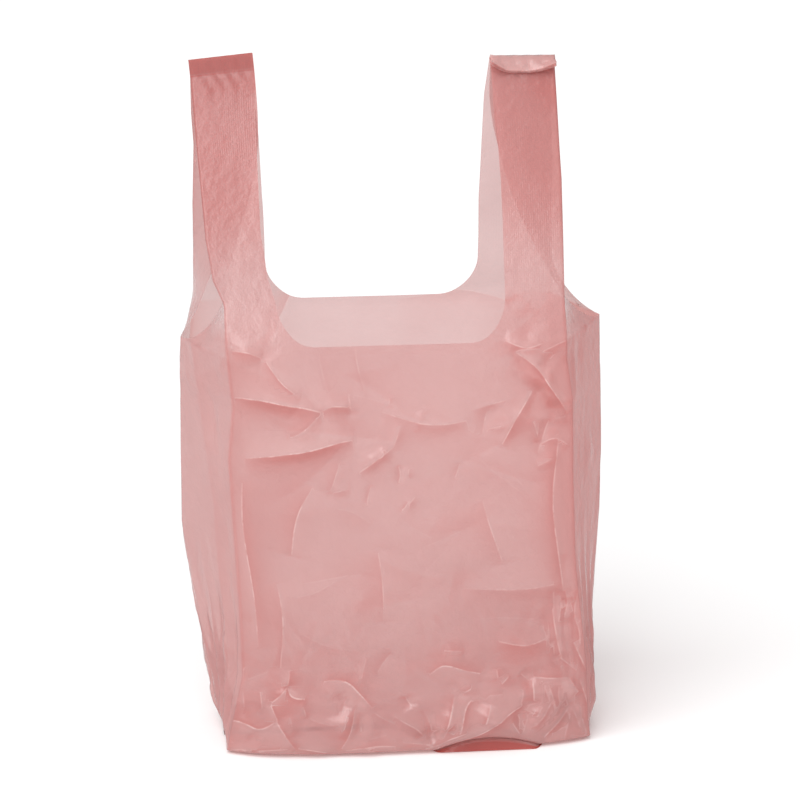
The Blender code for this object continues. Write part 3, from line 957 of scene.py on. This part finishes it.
def ranged(value, start, end, low=0.0, high=1.0):
    """Stretches values between start and end to between low and high."""
    limits = {"From Min": start, "From Max": end, "To Min": low, "To Max": high}
    return add_node(tree, "ShaderNodeMapRange", limits, Value=value).outputs[0]


def noise(place, **settings):
    return add_node(tree, "ShaderNodeTexNoise", settings, Vector=place).outputs["Fac"]


def blend(share, first, second):
    """Mixes two colours. Each is a hex colour or the output of another node."""
    node = add_node(tree, "ShaderNodeMix", {"data_type": "RGBA"}, i0=share)
    for socket, colour in ((node.inputs[6], first), (node.inputs[7], second)):
        if isinstance(colour, str):
            socket.default_value = linear(colour)
        else:
            tree.links.new(colour, socket)
    return node.outputs[2]


# %% [markdown]
# The mesh holds relief down to a few millimetres. What is finer is added as bumps, one on top of
# the other: stretch marks, crinkles, ridges where the film is squeezed, and embossed dots.

# %% Textures of the fine relief
on_flat = add_node(tree, "ShaderNodeUVMap", {"uv_map": "flat_pattern"}).outputs[0]
tube_place = add_node(tree, "ShaderNodeAttribute", {"attribute_name": "tube_place"})
on_tube = tube_place.outputs["Vector"]
squeezed_here = read_mark("squeezed")

# Stretch marks run round the tube, about 1.3 mm apart, because the bubble was drawn upwards
stretch = add_node(tree, "ShaderNodeMapping", {"Scale": (1 / 0.030, 1 / 0.030, 1 / 0.0013)},
                   Vector=on_tube)
streaks = noise(stretch.outputs[0], Scale=1.0, Detail=2.0)
# Crinkle facets of 3 to 8 mm, too shallow to be worth a finer mesh
facets = noise(on_tube, Scale=130.0, Detail=3.0, Roughness=0.6)
# Where the film is squeezed, sharp ridges run through it
ridges = noise(on_tube, noise_type="RIDGED_MULTIFRACTAL", Scale=60.0, Detail=3.0)
# Embossed dots, 1.2 mm apart, that the rollers leave on patches of the handles
dots = add_node(tree, "ShaderNodeTexVoronoi", {"Scale": 1 / 0.0012, "Randomness": 0.15},
                Vector=on_flat)
patches = ranged(noise(on_tube, Scale=22.0, Detail=1.0), 0.5, 0.6)
dots_here = maths("MULTIPLY", patches, read_mark("handle"))
print(f"{len(tree.nodes)} nodes for the textures")


# %% The relief as bumps
def bump(height_socket, strength, distance, **beneath):
    node = add_node(tree, "ShaderNodeBump", {"Strength": strength, "Distance": distance},
                    Height=height_socket, **beneath)
    return node.outputs[0]


surface = bump(streaks, 0.15, 0.0003)
surface = bump(facets, 0.5, 0.0012, Normal=surface)
surface = bump(maths("MULTIPLY", ridges, squeezed_here), 0.6, 0.0012, Normal=surface)
surface = bump(maths("MULTIPLY", dots.outputs["Distance"], dots_here), 0.5, 0.00018, Normal=surface)

# %% [markdown]
# Next the crests are drawn, with painted light on the lit side and painted shade on the shaded
# side. Close to a crest the two meet in a sharp line, because `crest_side` changes its sign there.
# Further off, both fade as their marks do.

# %% Painted light on the lit side, painted shade on the shaded side, and the crest line of every crease
crest_here = read_mark("crest")
side_of_crest = read_mark("crest_side")
from_crest = maths("ABSOLUTE", side_of_crest)
near_crest = ranged(from_crest, 1.2, 2.6, 1.0, 0.0)
sharp_lit = maths("MULTIPLY", ranged(side_of_crest, -0.3, 0.3), crest_here)
sharp_shaded = maths("SUBTRACT", crest_here, sharp_lit)
lit_side = add_node(tree, "ShaderNodeMix", i0=near_crest, i2=read_mark("lit"), i3=sharp_lit)
shaded_side = add_node(tree, "ShaderNodeMix", i0=near_crest, i2=read_mark("shaded"),
                       i3=sharp_shaded)
# The crest itself is a lighter line under 1 mm wide, partly painted highlight and partly film that
# whitens where it is stretched, broken up where the film is less sharply bent
whole_line = maths("MULTIPLY", ranged(from_crest, 0.15, 0.6, 1.0, 0.0), crest_here)
broken_line = maths("MULTIPLY", whole_line, ranged(facets, 0.42, 0.58, 0.2, 1.0))
# Painted shade on the shaded side of a crease adds to the mark of painted shade and darker film
shade_and_density_share = maths("ADD", read_mark("shade_and_density"), shaded_side.outputs[0], use_clamp=True)

# %% [markdown]
# Two colours matter for film: the colour of the light that the pigment scatters, and the tint that
# light takes on as it goes straight through. Both deepen at welds and folds, on film seen on a
# slant, and where shade is painted. The lit flanks of creases are painted lighter, as painted
# light.
# The crest lines are lighter too, partly as a painted highlight and partly because creased film
# whitens where it has been stretched. The film is also paler towards the ground.

# %% Colours of scattered light and of light that passes through
# The bubble's wall is never quite even, so the pink drifts a little over some centimetres
tone = ranged(noise(on_tube, Scale=26.0, Detail=2.0), 0.3, 0.7)
# The hot wire leaves a line 0.8 mm wide where the layers have melted through
flat_row = add_node(tree, "ShaderNodeSeparateXYZ", i0=on_flat).outputs[1]
wire_line = maths("COMPARE", flat_row, WELD_LINE, 0.0004)
dense = maths("MAXIMUM", maths("MAXIMUM", read_mark("fold"), read_mark("weld")), wire_line)
scattered = blend(dense, blend(tone, "D1A09E", "CB9997"), "C86A64")
# Painted shade, and film that looks darker: the scattered colour turns a deeper, darker pink
scattered = blend(shade_and_density_share, scattered, "CA8783")
# Painted light: the lit flanks of creases and the crest lines are paler; film is paler near the
# ground
painted_light_and_whitening = maths("MULTIPLY_ADD", lit_side.outputs[0], 0.28, broken_line)
painted_light_and_paling = maths("MULTIPLY_ADD", squeezed_here, 0.2, painted_light_and_whitening)
scattered = blend(painted_light_and_paling, scattered, "F2D2CF")
# The tint of light passing through deepens too, in painted shade and where film looks darker
passing = blend(shade_and_density_share, blend(dense, "FFF3F1", "F9CFC9"), "F1AEA8")

# %% Shaders of the film
through = add_node(tree, "ShaderNodeBsdfTransparent", Color=passing)
back_lit = add_node(tree, "ShaderNodeBsdfTranslucent", Color=scattered, Normal=surface)
front_lit = add_node(tree, "ShaderNodeBsdfDiffuse", Color=scattered, Normal=surface)
milky = add_node(tree, "ShaderNodeMixShader", {0: 0.65}, i1=back_lit.outputs[0],
                 i2=front_lit.outputs[0])
# About six tenths of the light is scattered, and more on film seen on a slant and in painted shade
milky_share = maths("MULTIPLY_ADD", shade_and_density_share, 0.12, ranged(tone, 0.0, 1.0, 0.58, 0.64))
sheet = add_node(tree, "ShaderNodeMixShader", i0=milky_share, i1=through.outputs[0],
                 i2=milky.outputs[0])
# Both sides of the film mirror alike: 4.5 % straight on, and up to 70 % at a grazing angle
shine = add_node(tree, "ShaderNodeBsdfGlossy", {"Roughness": 0.27}, Normal=surface)
facing = add_node(tree, "ShaderNodeLayerWeight", {"Blend": 0.5}, Normal=surface)
grazing = maths("POWER", facing.outputs["Facing"], 5.0)
coated = add_node(tree, "ShaderNodeMixShader", i0=ranged(grazing, 0.0, 1.0, 0.045, 0.7),
                  i1=sheet.outputs[0], i2=shine.outputs[0])
add_node(tree, "ShaderNodeOutputMaterial", Surface=coated.outputs[0])
film.data.materials.append(film_material)
print(f"{film_material.name}: {len(tree.nodes)} nodes")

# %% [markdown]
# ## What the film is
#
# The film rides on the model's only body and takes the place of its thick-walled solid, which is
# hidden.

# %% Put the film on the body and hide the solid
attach(film, "root")
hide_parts("sack")

# %% [markdown]
# ## Ground and light
#
# A pale matt floor runs out of sight. The light is a studio's: an even white surround that makes
# the film glow from behind, a broad key light high in front at the left that models the creases,
# and a smaller lamp beside it that puts soft highlights on their crests.

# %% Ground
bpy.ops.mesh.primitive_plane_add(size=40)
ground = bpy.context.object
ground.name = "ground"
paper = bpy.data.materials.new("white_paper_ground")
paper.use_nodes = True
paper_tree = paper.node_tree
paper_shader = paper_tree.nodes["Principled BSDF"]
paper_shader.inputs["Roughness"].default_value = 0.9
paper_shader.inputs["Base Color"].default_value = linear("F6F6F6")
ground.data.materials.append(paper)

# %% Light
SURROUND_STRENGTH = 0.62
SACK_MIDDLE = Vector((0, 0, 0.18))

world = bpy.data.worlds.new("studio")
bpy.context.scene.world = world
world.use_nodes = True
surround = world.node_tree.nodes["Background"]
surround.inputs["Color"].default_value = (1, 1, 1, 1)
surround.inputs["Strength"].default_value = SURROUND_STRENGTH


def light_from(name, kind, place, settings):
    """A lamp at a place, aimed at the sack's middle."""
    lamp = bpy.data.lights.new(name, kind)
    for setting, value in settings.items():
        setattr(lamp, setting, value)
    holder = bpy.data.objects.new(name, lamp)
    holder.location = place
    aim = SACK_MIDDLE - Vector(place)
    holder.rotation_euler = aim.to_track_quat("-Z", "Y").to_euler()
    bpy.context.scene.collection.objects.link(holder)
    print(f"{name}: {kind.lower()} lamp, strength {lamp.energy}")


light_from("key", "SUN", (-0.8, -1.2, 1.9), {"energy": 2.25, "angle": math.radians(50)})
light_from("shine", "AREA", (-0.3, -1.5, 0.9), {"energy": 3.0, "size": 0.5})

# %% [markdown]
# ## Camera
#
# A long lens from nearly two metres away keeps the sack's upright edges almost parallel. The camera
# stands a little to the left and looks down at about fifteen degrees, so that the rear rim shows
# above the front one.

# %% Camera
CAMERA_DISTANCE = 1.8
CAMERA_LENS = 153.5
CAMERA_TURN = math.radians(-6.5)
CAMERA_RISE = math.radians(14.8)
AIM = Vector((0.0035, 0.0, 0.1815))

camera_data = bpy.data.cameras.new("camera")
camera_data.lens = CAMERA_LENS
camera_data.sensor_width = 36
camera = bpy.data.objects.new("camera", camera_data)
back = Vector((math.sin(CAMERA_TURN) * math.cos(CAMERA_RISE),
               -math.cos(CAMERA_TURN) * math.cos(CAMERA_RISE),
               math.sin(CAMERA_RISE)))
camera.location = AIM + back * CAMERA_DISTANCE
camera.rotation_euler = (-back).to_track_quat("-Z", "Y").to_euler()
bpy.context.scene.collection.objects.link(camera)
bpy.context.scene.camera = camera
bpy.context.scene.view_settings.view_transform = "Standard"
